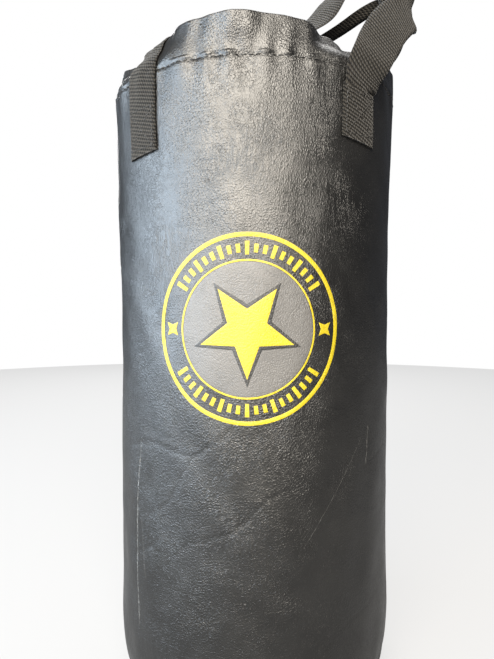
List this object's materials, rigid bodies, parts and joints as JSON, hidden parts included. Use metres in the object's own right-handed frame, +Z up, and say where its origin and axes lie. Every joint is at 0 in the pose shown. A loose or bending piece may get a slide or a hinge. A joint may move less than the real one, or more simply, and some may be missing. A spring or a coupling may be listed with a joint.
{
  "type": "hanging punching bag",
  "caption": "Small cylindrical punching bag in dark synthetic leather with a hemmed rim, a zipped top panel and two webbing straps crossing in a steel ring.",
  "frame": {"origin": "centre of the flat bottom panel, on the surface that the bag stands on", "axes": "+Z up along the bag's axis; the printed front faces -Y; +X is to the right seen from the front"},
  "size_m": [0.3146, 0.2976, 0.75],
  "materials": {
    "vinyl": "satin",
    "webbing": "matte",
    "zip_metal": "satin",
    "zip_tape": "matte",
    "backing": "matte",
    "ring_steel": "satin",
    "felt": "matte",
    "fibre": "matte",
    "foam": "matte",
    "sack": "matte",
    "print_yellow": "satin",
    "print_grey": "satin"
  },
  "bodies": {
    "bag": {"shell_panel": "vinyl", "rim_collar": "vinyl", "bottom_panel": "vinyl", "top_panel_front": "vinyl", "top_panel_back": "vinyl", "strap_end_front_left": "webbing", "strap_end_front_right": "webbing", "strap_end_back_right": "webbing", "strap_end_back_left": "webbing", "strap_leg_front_right": "webbing", "strap_leg_back_right": "webbing", "zipper_teeth_front": "zip_metal", "zipper_teeth_back": "zip_metal", "zipper_stop_left": "zip_metal", "zipper_stop_right": "zip_metal", "zipper_tape_front": "zip_tape", "zipper_tape_back": "zip_tape", "strap_backing_front_left": "backing", "strap_backing_front_right": "backing", "strap_backing_back_right": "backing", "strap_backing_back_left": "backing", "felt_liner": "felt", "fibre_filling": "fibre", "top_foam_disc": "foam", "bottom_foam_disc": "foam", "weight_sack_lower": "sack", "weight_sack_upper": "sack"},
    "bridle": {"strap_leg_front_left": "webbing", "strap_leg_back_left": "webbing", "strap_crossing_front": "webbing", "strap_crossing_back": "webbing"},
    "ring": {"hanging_ring": "ring_steel"},
    "slider": {"zipper_slider": "zip_metal"},
    "pull": {"zipper_pull": "zip_metal"}
  },
  "joints": [
    {"name": "bridle_swing", "type": "hinge", "parent": "bag", "child": "bridle", "pos_m": [-0.098, 0, 0.641], "axis": [0, -1, 0], "range_deg": [0, 50.8], "deforming": ["strap_leg_front_right", "strap_leg_back_right"]},
    {"name": "ring_turn", "type": "hinge", "parent": "bridle", "child": "ring", "pos_m": [0.14641, 0, 0.7093], "axis": [0.9063, 0, -0.4226], "range_deg": [-180, 180]},
    {"name": "zipper_slide", "type": "slide", "parent": "bag", "child": "slider", "axis": [1, 0, 0], "range_m": [0, 0.18]},
    {"name": "pull_flip", "type": "hinge", "parent": "slider", "child": "pull", "pos_m": [-0.09, 0, 0.61125], "axis": [0, -1, 0], "range_deg": [0, 178]}
  ]
}
